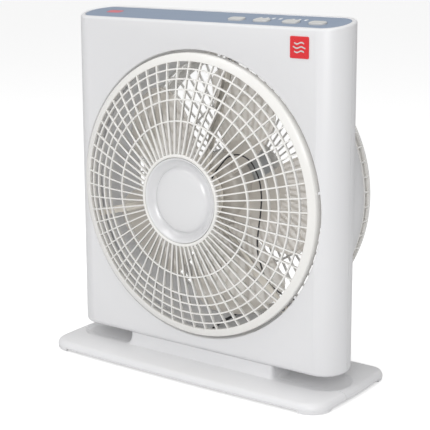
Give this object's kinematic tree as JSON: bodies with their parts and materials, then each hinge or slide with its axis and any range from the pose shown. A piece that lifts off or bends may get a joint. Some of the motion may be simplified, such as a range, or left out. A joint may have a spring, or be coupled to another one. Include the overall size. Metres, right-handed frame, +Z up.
{
  "type": "box fan",
  "caption": "Free-standing box fan: rounded white body on a plate base, domed louvre grille that turns slowly in front, rear guard, push buttons on a sloping top.",
  "frame": {"origin": "on the floor, under the middle of the whole fan", "axes": "-Y to the front, +X to the right of someone facing the fan, +Z up"},
  "size_m": [0.404, 0.166, 0.4275],
  "materials": {
    "base_plastic": "smooth white moulding",
    "foot_rubber": "soft grey",
    "steel": "zinc plated",
    "housing_plastic": "smooth white moulding",
    "panel_plastic": "blue-grey, fine texture",
    "mark_red": "printed red",
    "button_plastic": "off-white",
    "dark_plastic": "black moulding",
    "clear_plastic": "pale translucent",
    "board": "coated board",
    "lattice_plastic": "warm white moulding",
    "inner_plastic": "warm white moulding",
    "small_motor_metal": "plated can",
    "black_lead": "insulation",
    "grey_lead": "insulation",
    "blade_plastic": "translucent, faint lilac",
    "core_steel": "laminated",
    "copper_wire": "enamelled copper",
    "cast_cover": "die cast",
    "bearing_bronze": "sintered bronze",
    "capacitor_plastic": "moulded"
  },
  "bodies": {
    "body": {"base_front": "base_plastic", "base_rear": "base_plastic", "foot_front_left": "foot_rubber", "foot_front_right": "foot_rubber", "foot_rear_left": "foot_rubber", "foot_rear_right": "foot_rubber", "base_screw_1": "steel", "base_screw_2": "steel", "base_screw_3": "steel", "base_screw_4": "steel", "housing_screw_1": "steel", "housing_screw_2": "steel", "housing_screw_3": "steel", "housing_screw_4": "steel", "cross_screw_1": "steel", "cross_screw_2": "steel", "cross_screw_3": "steel", "guard_screw_1": "steel", "guard_screw_2": "steel", "guard_screw_3": "steel", "motor_screw_1": "steel", "motor_screw_2": "steel", "front_housing": "housing_plastic", "rear_housing": "housing_plastic", "control_panel": "panel_plastic", "panel_mark": "mark_red", "badge": "mark_red", "power_switch": "dark_plastic", "speed_switch": "dark_plastic", "timer_switch": "dark_plastic", "louvre_switch": "dark_plastic", "cord_gland": "dark_plastic", "light_guide": "clear_plastic", "control_board": "board", "rear_guard": "lattice_plastic", "rear_cap": "lattice_plastic", "louvre_cross": "inner_plastic", "louvre_motor": "small_motor_metal", "louvre_lead": "black_lead", "motor_lead": "black_lead", "supply_lead": "grey_lead", "motor_stator": "core_steel", "motor_winding_front": "copper_wire", "motor_winding_rear": "copper_wire", "motor_front_cover": "cast_cover", "motor_rear_cover": "cast_cover", "bearing_front": "bearing_bronze", "bearing_rear": "bearing_bronze", "capacitor": "capacitor_plastic"},
    "louvre": {"louvre_grille": "lattice_plastic", "louvre_hub_cap": "lattice_plastic", "louvre_shaft": "inner_plastic"},
    "fan": {"impeller": "blade_plastic", "impeller_nut": "inner_plastic", "motor_shaft": "steel", "motor_rotor": "core_steel"},
    "power_key": {"power_button": "button_plastic"},
    "speed_key": {"speed_button": "button_plastic"},
    "timer_key": {"timer_button": "button_plastic"},
    "louvre_key": {"louvre_button": "button_plastic"}
  },
  "joints": [
    {"name": "fan_spin", "type": "hinge", "parent": "body", "child": "fan", "pos_m": [0, 0.01, 0.215], "axis": [0, 1, 0], "continuous": true},
    {"name": "louvre_spin", "type": "hinge", "parent": "body", "child": "louvre", "pos_m": [0, -0.05, 0.215], "axis": [0, 1, 0], "continuous": true},
    {"name": "power_press", "type": "slide", "parent": "body", "child": "power_key", "axis": [0, 0.1561, -0.9877], "range_m": [0, 0.0009], "stiffness_N_per_m": 800, "springref_m": -0.0006},
    {"name": "speed_press", "type": "slide", "parent": "body", "child": "speed_key", "axis": [0, 0.1561, -0.9877], "range_m": [0, 0.0009], "stiffness_N_per_m": 800, "springref_m": -0.0006},
    {"name": "timer_press", "type": "slide", "parent": "body", "child": "timer_key", "axis": [0, 0.1561, -0.9877], "range_m": [0, 0.0009], "stiffness_N_per_m": 800, "springref_m": -0.0006},
    {"name": "louvre_press", "type": "slide", "parent": "body", "child": "louvre_key", "axis": [0, 0.1561, -0.9877], "range_m": [0, 0.0009], "stiffness_N_per_m": 800, "springref_m": -0.0006}
  ]
}
